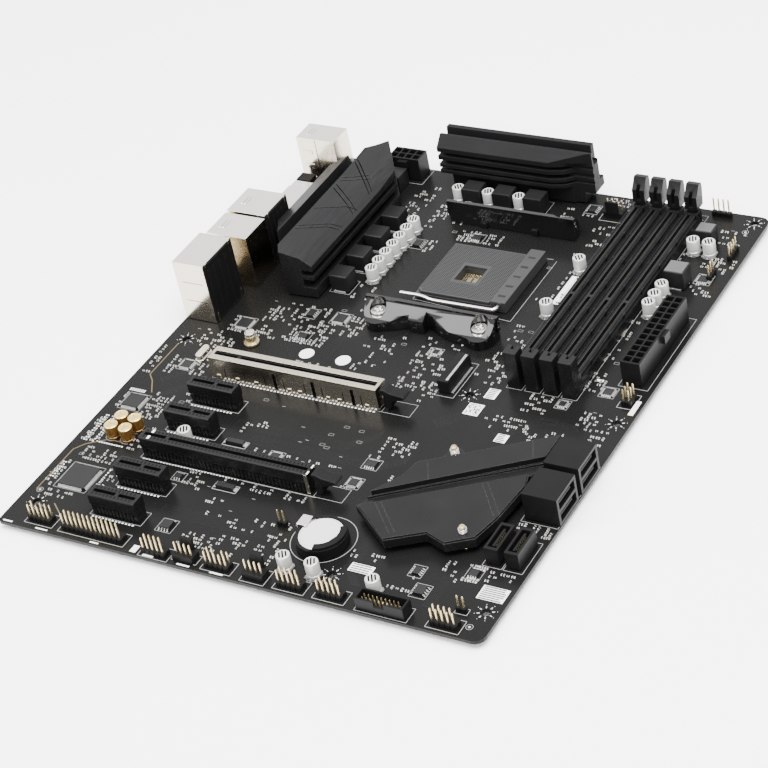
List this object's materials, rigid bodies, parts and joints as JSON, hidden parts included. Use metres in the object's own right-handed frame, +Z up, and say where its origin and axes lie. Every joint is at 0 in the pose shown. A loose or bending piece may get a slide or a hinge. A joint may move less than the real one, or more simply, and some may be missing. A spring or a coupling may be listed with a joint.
{
  "type": "motherboard",
  "caption": "Desktop computer motherboard in the ATX size with a lever socket, memory and expansion slots, finned heatsinks and a rear port stack.",
  "frame": {"origin": "centre of the assembly's bounding box in plan, at the underside of the cooler backplate", "axes": "+X from the rear port edge to the right edge, +Y from the front header edge to the top edge, +Z up from the component side"},
  "size_m": [0.245, 0.3048, 0.0374],
  "materials": {
    "board_black": "satin black solder mask over glass fibre",
    "slot_plastic": "moulded black slot body",
    "latch_plastic": "moulded black latch",
    "connector_plastic": "moulded black connector shell",
    "bracket_plastic": "glossy black moulding",
    "socket_plastic": "dark grey moulded socket",
    "heatsink_metal": "black anodised aluminium with a fine grain",
    "backplate_steel": "black coated steel plate",
    "port_shell": "nickel-plated steel shell",
    "bright_steel": "bright plated steel",
    "plated_brass": "pale plated brass",
    "choke_core": "pressed powder core with a grey face",
    "chip_package": "black chip package"
  },
  "bodies": {
    "board": {"pcb": "board_black", "dimm_slot_1": "slot_plastic", "dimm_slot_2": "slot_plastic", "dimm_slot_3": "slot_plastic", "dimm_slot_4": "slot_plastic", "pcie_x1_1": "slot_plastic", "pcie_x1_2": "slot_plastic", "pcie_x1_3": "slot_plastic", "pcie_x1_4": "slot_plastic", "pcie_x16_primary": "slot_plastic", "pcie_x16_secondary": "slot_plastic", "atx_power_24pin": "connector_plastic", "cpu_power_8pin": "connector_plastic", "sata_stack_lower": "connector_plastic", "sata_stack_upper": "connector_plastic", "sata_upright_1": "connector_plastic", "sata_upright_2": "connector_plastic", "usb3_header": "connector_plastic", "m2_connector": "connector_plastic", "battery_holder": "connector_plastic", "flash_button_housing": "connector_plastic", "cpu_bracket_lower": "bracket_plastic", "cpu_bracket_upper": "bracket_plastic", "cpu_socket_base": "socket_plastic", "vrm_heatsink_rear": "heatsink_metal", "vrm_heatsink_top": "heatsink_metal", "chipset_heatsink": "heatsink_metal", "cpu_backplate": "backplate_steel", "ps2_usb_stack": "port_shell", "hdmi_usb_stack": "port_shell", "lan_usb_stack": "port_shell", "dvi_port": "port_shell", "audio_jack_block": "port_shell", "pcie_x16_armour": "bright_steel", "battery_cell": "bright_steel", "battery_clip": "bright_steel", "bracket_screw_1": "bright_steel", "bracket_screw_2": "bright_steel", "bracket_screw_3": "bright_steel", "bracket_screw_4": "bright_steel", "m2_screw": "bright_steel", "m2_standoff": "plated_brass", "chipset_pin_1": "plated_brass", "chipset_pin_2": "plated_brass", "vrm_choke_1": "choke_core", "vrm_choke_2": "choke_core", "vrm_choke_3": "choke_core", "vrm_choke_4": "choke_core", "memory_choke_1": "choke_core", "memory_choke_2": "choke_core", "chipset_die": "chip_package"},
    "socket_lever": {"cpu_socket_lever": "bright_steel"},
    "socket_cover": {"cpu_socket_cover": "socket_plastic"},
    "flash_button": {"flash_button": "connector_plastic"},
    "pcie_latch_primary": {"pcie_latch_primary": "latch_plastic"},
    "pcie_latch_secondary": {"pcie_latch_secondary": "latch_plastic"},
    "dimm_latch_1": {"dimm_latch_1": "latch_plastic"},
    "dimm_latch_2": {"dimm_latch_2": "latch_plastic"},
    "dimm_latch_3": {"dimm_latch_3": "latch_plastic"},
    "dimm_latch_4": {"dimm_latch_4": "latch_plastic"}
  },
  "joints": [
    {"name": "socket_lever_lift", "type": "hinge", "parent": "board", "child": "socket_lever", "pos_m": [0.02798, 0.0452, 0.0075], "axis": [0, 1, 0], "range_deg": [0, 95]},
    {"name": "socket_cover_shift", "type": "slide", "parent": "board", "child": "socket_cover", "axis": [-1, 0, 0], "range_m": [0, 0.001]},
    {"name": "flash_button_press", "type": "slide", "parent": "board", "child": "flash_button", "axis": [1, 0, 0], "range_m": [0, 0.0005], "stiffness_N_per_m": 1500, "springref_m": -0.0003},
    {"name": "dimm_latch_1_swing", "type": "hinge", "parent": "board", "child": "dimm_latch_1", "pos_m": [0.06123, 0.1391, 0.0069], "axis": [-1, 0, 0], "range_deg": [0, 35]},
    {"name": "dimm_latch_2_swing", "type": "hinge", "parent": "board", "child": "dimm_latch_2", "pos_m": [0.07033, 0.1391, 0.0069], "axis": [-1, 0, 0], "range_deg": [0, 35]},
    {"name": "dimm_latch_3_swing", "type": "hinge", "parent": "board", "child": "dimm_latch_3", "pos_m": [0.07943, 0.1391, 0.0069], "axis": [-1, 0, 0], "range_deg": [0, 35]},
    {"name": "dimm_latch_4_swing", "type": "hinge", "parent": "board", "child": "dimm_latch_4", "pos_m": [0.08853, 0.1391, 0.0069], "axis": [-1, 0, 0], "range_deg": [0, 35]},
    {"name": "pcie_latch_primary_press", "type": "hinge", "parent": "board", "child": "pcie_latch_primary", "pos_m": [0.01308, -0.0294, 0.0065], "axis": [0, 1, 0], "range_deg": [0, 20], "stiffness_Nm_per_rad": 0.02, "springref_deg": -1.15},
    {"name": "pcie_latch_secondary_press", "type": "hinge", "parent": "board", "child": "pcie_latch_secondary", "pos_m": [0.01308, -0.09036, 0.0065], "axis": [0, 1, 0], "range_deg": [0, 20], "stiffness_Nm_per_rad": 0.02, "springref_deg": -1.15}
  ],
  "couplings": [
    {"joint": "socket_cover_shift", "follows": "socket_lever_lift", "m_per_rad": 0.0006}
  ]
}
